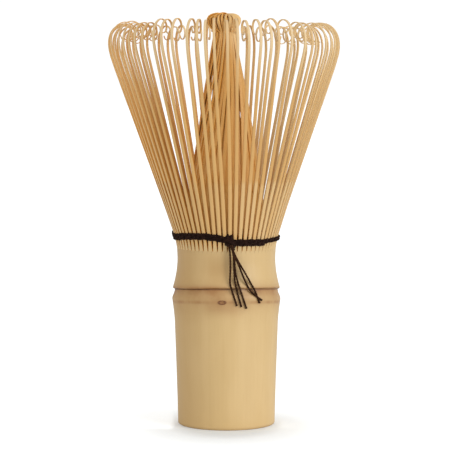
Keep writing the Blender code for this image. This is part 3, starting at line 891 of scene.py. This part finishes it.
def innerLine(cfg, index):
    layer = index % cfg["perSplint"]
    neckRadius = cfg["neckRadii"][layer] + random.uniform(-1, 1) * cfg["neckScatter"]
    twist = radians(cfg["twist"] + random.uniform(-1, 1) * cfg["twistScatter"])
    turn = radians(cfg["curlTurn"] + random.uniform(-1, 1) * cfg["turnScatter"])
    curl = cfg["curl"] * random.uniform(*cfg["curlRange"])
    bow = cfg["bow"] * random.uniform(*cfg["bowRange"])
    points = []
    steps = 60
    for step in range(steps + 1):
        share = step / steps
        radius = mix(cfg["rootRadius"], neckRadius, share) + bow * sin(pi * share)
        height = mix(cfg["rootHeight"], cfg["neckHeight"], share)
        swing = twist * share**2
        points.append((radius * cos(swing), radius * sin(swing), height))
    slope = atan2(neckRadius - cfg["rootRadius"] - bow * pi, cfg["neckHeight"] - cfg["rootHeight"])
    radius, height = neckRadius, cfg["neckHeight"]
    steps = 110
    step = (curl + 2 * mm) / steps
    lilt = random.uniform(-1, 1) * cfg["lilt"]
    for part in range(steps):
        share = (part + 0.5) * step / curl
        opening = slope * (1 - smooth(share * 5))
        flare = cfg["flare"] * sin(pi * min(share / 0.4, 1))
        heading = opening + flare - turn * max(share - 0.1, 0) ** cfg["tightening"]
        radius += step * sin(heading)
        height += step * cos(heading)
        aside = lilt * smooth(share)
        across = radius * cos(twist) - aside * sin(twist)
        points.append((across, radius * sin(twist) + aside * cos(twist), height))
    # the layer's painted shade, with a random tone on top
    return points, cfg["layerTones"][layer] + 0.5 * random.random()


addTines(innerSettings, "inner", "bamboo_pith", innerSections(innerSettings), innerLine)


# thread: two-ply cotton, drawn as twisted strands

threadSettings = {
    "diameter": 0.56 * mm,
    "bandDiameter": 0.76 * mm,
    "row": 0.57 * mm,
    "plyPitch": 1.6 * mm,
    "spacing": 0.13 * mm,
    "profilePoints": 10,
    "lobe": 0.17,
    "press": 0.12 * mm,
    "dip": 0.16 * mm,
    "weave": 0.2 * mm,          # every other slit takes a row deeper
    "ripple": 0.07 * mm,
    "tuckDepth": 1.3 * mm,
    "tuckRise": 1.5 * mm,
    # rows round the tines: from and to in degrees, which row up from the band's middle, how far behind the
    # skin, and whether it comes from behind the tines
    "rows": [(5, 360, -0.5), (5, 361, 0.5), (6, 47, -1.5), (236, 360, 1.5, 0.0, True),
             (3, 361, 1.7, 0.85 * mm), (3, 361, -1.9, 0.85 * mm)],
    "laced": ((0.011, 0.004, 0.003, 1), (0.026, 0.0095, 0.0065, 1)),
    # a lighter copy of the band's cotton, painted light for the highlights on the loose ends
    "tailsLit": ((0.028, 0.0105, 0.004, 1), (0.055, 0.022, 0.01, 1)),
    "fuzz": (0.07, 0.032, 0.022, 1),
    "endSwell": 0.7 * mm,       # a cut end opens a little over this length
    # the band's height round the tines: degrees from the front, and millimetres
    "bandLine": [(5, 50.3), (26, 50.2), (45, 50.05), (63, 50.25), (90, 50.35), (180, 50.45), (270, 50.5),
                 (291, 50.6), (310, 51.05), (324, 51.22), (337, 51.28), (348, 51.0), (362, 50.35)],
}


def threadPaint(name, dark, light, fluff):
    kit = NodeKit(name)
    place = kit.place()
    fuzz = kit.noise(place, 5200, 4.0, 0.65)
    worn = kit.noise(place, 900, 3.0, 0.6)
    color = kit.blend(kit.span(worn, 0.35, 0.7), dark, light)
    color = kit.blend(kit.span(fuzz, 0.55, 0.8, 0.0, 0.5), color, fluff)
    kit.bump(fuzz, 0.06 * mm, 0.6)
    return kit.paint({
        "Base Color": color, "Roughness": 0.9, "Specular IOR Level": 0.08,
        "Sheen Weight": 0.06, "Sheen Roughness": 0.5, "Sheen Tint": (1.0, 0.72, 0.55, 1),
    })


# the same line, with its points at even distances
def evenPoints(points, spacing):
    even = [points[0].copy()]
    left = spacing
    for start, end in zip(points, points[1:]):
        span = (end - start).length
        while span > left:
            start = start.lerp(end, left / span)
            even.append(start.copy())
            span = (end - start).length
            left = spacing
        left -= span
    even.append(points[-1].copy())
    return even


# the two-lobed outline of a two-ply thread
def plyProfile(cfg, diameter):
    outline = []
    for index in range(cfg["profilePoints"]):
        angle = tau * index / cfg["profilePoints"]
        reach = diameter / 2 * (1 - cfg["lobe"] * (1 - cos(2 * angle)) / 2)
        outline.append((reach * cos(angle), reach * sin(angle), 0))
    profile = polyLine("plyProfile", outline, "2D")
    profile.data.splines[0].use_cyclic_u = True
    return profile


def twistedStrand(name, points, cfg, profile, paint, cutEnd=False):
    points = evenPoints(points, cfg["spacing"])
    strand = polyLine(name, points)
    strand.data.bevel_mode = "OBJECT"
    strand.data.bevel_object = profile
    strand.data.use_fill_caps = True
    for index, point in enumerate(strand.data.splines[0].points):
        point.tilt = tau * index * cfg["spacing"] / cfg["plyPitch"]
        away = (len(points) - 1 - index) * cfg["spacing"]
        if cutEnd and away < cfg["endSwell"]:
            point.radius = 1.0 + 0.22 * smooth(1 - away / cfg["endSwell"])
    pick(strand)
    bpy.ops.object.convert(target="MESH")
    strand = bpy.context.object
    openMesh()
    bpy.ops.mesh.remove_doubles(threshold=0.001 * mm)
    closeMesh()
    bpy.ops.object.shade_smooth()
    strand.data.materials.clear()
    strand.data.materials.append(paint)
    return strand


def around(radius, angle, height):
    return Vector((radius * sin(angle), -radius * cos(angle), height))


# the outer tines' skin where the thread lies, from the same bend as their lines
def skinRadius(height):
    cfg = outerSettings
    radius, level, distance, step = cfg["rootRadius"], cfg["rootHeight"], 0.0, 0.05 * mm
    while level < height:
        heading = outerHeading(distance, cfg, radians(cfg["lean"]))
        radius += step * sin(heading)
        level += step * cos(heading)
        distance += step
    return radius


# height of the band's middle pair of rows at an angle in degrees
def bandHeight(angle, cfg):
    stations = cfg["bandLine"]
    for (startAngle, startHeight), (endAngle, endHeight) in zip(stations, stations[1:]):
        if angle <= endAngle:
            share = smooth((angle - startAngle) / (endAngle - startAngle))
            return mix(startHeight, endHeight, share) * mm
    return stations[-1][1] * mm


# one run of thread; it sinks a little into each slit, and with tuck it comes from behind the tines
def bandRow(cfg, start, end, row, inset=0.0, tuck=False):
    points = []
    count = outerSettings["count"]
    steps = int((end - start) * count * 12 / 360)
    for index in range(steps + 1):
        angle = mix(start, end, index / steps)
        height = bandHeight(angle, cfg) + row * cfg["row"]
        phase = radians(angle) * count - outerSettings["firstAngle"] * tau
        sink = cfg["dip"] * smooth((1 - cos(phase)) / 2) + inset
        sink += cfg["weave"] * smooth((1 - cos(phase / 2 + row * pi)) / 2) ** 2
        if tuck:
            sink += cfg["tuckDepth"] * smooth(1 - (angle - start) / 9)
            height += cfg["tuckRise"] * smooth(1 - (angle - start) / 40)
        height += cfg["ripple"] * sin(phase / 2 + row * 2)
        radius = skinRadius(height) + cfg["bandDiameter"] / 2 - cfg["press"] - sink
        points.append(around(radius, radians(angle), height))
    return points


# a smooth line through a route's own points
def smoothRoute(route, parts=10):
    ends = [route[0] * 2 - route[1], *route, route[-1] * 2 - route[-2]]
    line = []
    for index in range(1, len(ends) - 2):
        a, b, c, d = ends[index - 1: index + 3]
        for part in range(parts):
            t = part / parts
            point = 2 * b + (c - a) * t + (2 * a - 5 * b + 4 * c - d) * t**2 + (3 * b - a - 3 * c + d) * t**3
            line.append(point / 2)
    line.append(route[-1].copy())
    return line


knotSettings = {
    # passes over the band: side, lean, how far it stands out, its low and its high end, in millimetres
    "passes": [(0.0, 0.15, 0.1, 49.3, 52.0), (0.35, 0.1, 0.25, 49.2, 52.2), (0.65, 0.0, 0.4, 49.0, 51.8),
               (1.0, -0.05, 0.5, 48.8, 51.7), (1.35, -0.1, 0.45, 48.7, 52.1), (1.7, -0.2, 0.25, 48.6, 51.6),
               (2.0, -0.2, 0.0, 48.8, 50.9)],
    # and across it: side, height and how far it stands out at each point
    "cross": [[(-0.5, 50.7, 0.3), (0.1, 50.75, 0.85), (0.8, 50.4, 1.15), (1.5, 49.9, 1.05), (2.1, 49.5, 0.6)],
              [(-0.1, 50.0, 0.4), (0.5, 49.7, 0.95), (1.1, 49.2, 1.05), (1.6, 48.7, 0.9), (2.0, 48.2, 0.5)]],
    "passSteps": 8,
    "sunk": 0.45 * mm,          # a pass's ends go this deep between the tines
}

tailSettings = {
    "hang": 14.64 * mm,         # the loose ends hang clear of the waist, from the knot to the lip
    # side and height of each point, in millimetres
    "routes": [
        [(0.6, 49.6), (0.98, 46.8), (1.05, 43.0), (0.95, 39.5), (1.55, 37.2), (2.75, 33.4)],
        [(1.3, 49.6), (1.85, 46.6), (2.0, 43.3), (2.2, 40.2), (2.75, 37.5), (3.95, 33.1)],
        [(1.5, 49.5), (2.05, 46.4), (2.3, 42.8), (2.95, 39.8), (4.0, 36.6), (5.25, 32.65)],
        [(1.0, 49.5), (2.2, 46.5), (3.7, 43.0), (5.05, 39.6), (6.7, 36.8), (9.35, 34.6)],
        [(1.3, 49.2), (2.65, 46.0), (4.75, 42.3), (6.4, 39.3), (7.6, 37.0), (8.77, 33.9)],
    ],
    "lifts": [0.0, 0.1, 0.42, 0.38, 0.05],      # where they lie over each other near the knot
    "liftStart": 38 * mm,
    "liftReach": 6 * mm,
}


def tailPoints(route, lift, diameter, cfg):
    points = []
    for side, height, _ in smoothRoute([Vector((*point, 0)) * mm for point in route]):
        hang = cfg["hang"] + lift * mm * smooth((height - cfg["liftStart"]) / cfg["liftReach"])
        radius = max(culmRadius(height, 1.0) + diameter / 2, hang)
        points.append(around(radius, asin(side / radius), height))
    return points


# one pass of thread over the band, from behind it above to behind it below
def knotPass(side, lean, proud, low, high, diameter, cfg):
    route = []
    for step in range(cfg["passSteps"] + 1):
        share = step / cfg["passSteps"]
        height = mix(low, high, share) * mm
        arch = sin(pi * share) ** 0.6
        radius = skinRadius(height) - cfg["sunk"] + (diameter * 1.1 + proud * mm) * arch
        across = (side + lean * (share - 0.5) * 2) * mm
        route.append(around(radius, asin(across / radius), height))
    return smoothRoute(route, 4)


# several strands as one piece
def addStrands(name, node, routes, cfg, profile, paint):
    strands = []
    for index, points in enumerate(routes):
        strands.append(twistedStrand(f"{name}{index}", points, cfg, profile, paint))
    finishPiece(joinAll(strands, name), "thread", node)


def addThread(cfg, knot, tails):
    laced = threadPaint("cottonLaced", *cfg["laced"], cfg["fuzz"])
    tailsLit = threadPaint("cottonTailsLit", *cfg["tailsLit"], cfg["fuzz"])
    thin = plyProfile(cfg, cfg["diameter"])
    thick = plyProfile(cfg, cfg["bandDiameter"])
    rows = [bandRow(cfg, *row) for row in cfg["rows"]]
    addStrands("threadWinding", "thread_winding", rows, cfg, thick, laced)
    passes = [knotPass(*size, cfg["bandDiameter"], knot) for size in knot["passes"]]
    for route in knot["cross"]:
        across = []
        for side, height, proud in route:
            radius = skinRadius(height * mm) + proud * mm
            across.append(around(radius, asin(side * mm / radius), height * mm))
        passes.append(smoothRoute(across, 5))
    addStrands("threadKnot", "thread_knot", passes, cfg, thick, laced)
    for index, (route, lift) in enumerate(zip(tails["routes"], tails["lifts"])):
        points = tailPoints(route, lift, cfg["diameter"], tails)
        tail = twistedStrand(f"threadTail{index + 1}", points, cfg, thin, tailsLit, cutEnd=True)
        finishPiece(tail, "thread", f"thread_tail_{index + 1}")
    bpy.data.objects.remove(thin)
    bpy.data.objects.remove(thick)
    print("thread laced and knotted")


addThread(threadSettings, knotSettings, tailSettings)


# bud scar on the node, a small eye left of the middle

budSettings = {
    "side": -1.14 * mm,
    "height": 34.3 * mm,
    "halfWidth": 1.2 * mm,
    "halfHeight": 0.66 * mm,
    "depth": 0.35 * mm,         # how far it reaches into the culm
    # each step of its rim: how far inward and how far outward
    "insets": inMetres((0.16, 0.08), (0.12, 0.03), (0.12, -0.1)),
    "rim": (0.14, 0.052, 0.018, 1),
    "eye": (0.36, 0.165, 0.05, 1),
}


def budPaint(cfg, middle):
    kit = NodeKit("budBrown")
    place = kit.place()
    grain = kit.noise(place, 2500, 3.0, 0.6)
    centred = kit.add("ShaderNodeVectorMath", {0: place, 1: middle}, operation="SUBTRACT").outputs[0]
    reach = kit.length(kit.stretched(centred, (1 / cfg["halfWidth"], 0, 1 / cfg["halfHeight"])))
    ring = kit.levels(reach, [(0.0, 0.25), (0.42, 0.4), (0.66, 1.0), (0.85, 0.8), (1.0, 0.35)])
    ring = kit.times(ring, kit.span(grain, 0.25, 0.7, 0.7, 1.0))
    kit.bump(grain, 0.05 * mm, 0.5)
    return kit.paint({"Base Color": kit.blend(ring, cfg["eye"], cfg["rim"]), "Roughness": 0.6})


# a disc inset three times into a rimmed eye, then laid on the culm
def addBudScar(cfg):
    deselectAll()
    bpy.ops.mesh.primitive_circle_add(vertices=28, radius=1 * mm, fill_type="NGON", location=(0, 0, 0))
    bud = bpy.context.object
    bud.name = "budScar"
    openMesh()
    size = (cfg["halfWidth"] / mm, cfg["halfHeight"] / mm, 1)
    bpy.ops.transform.resize(value=size, center_override=(0, 0, 0))
    for inward, outward in cfg["insets"]:
        bpy.ops.mesh.inset(thickness=inward, depth=0)
        bpy.ops.transform.translate(value=(0, 0, outward))
    bpy.ops.mesh.select_all(action="SELECT")
    bpy.ops.mesh.extrude_region_move(TRANSFORM_OT_translate={"value": (0, 0, -cfg["depth"])})
    closeMesh()
    bpy.ops.object.shade_smooth_by_angle(angle=radians(50))
    radius = culmRadius(cfg["height"], 1.0) + 0.02 * mm
    angle = asin(cfg["side"] / radius)
    bud.rotation_euler = (pi / 2, 0, angle)
    bud.location = around(radius, angle, cfg["height"])
    bud.data.materials.append(budPaint(cfg, tuple(bud.location)))
    finishPiece(bud, "bamboo_culm")
    print("bud scar set")


addBudScar(budSettings)
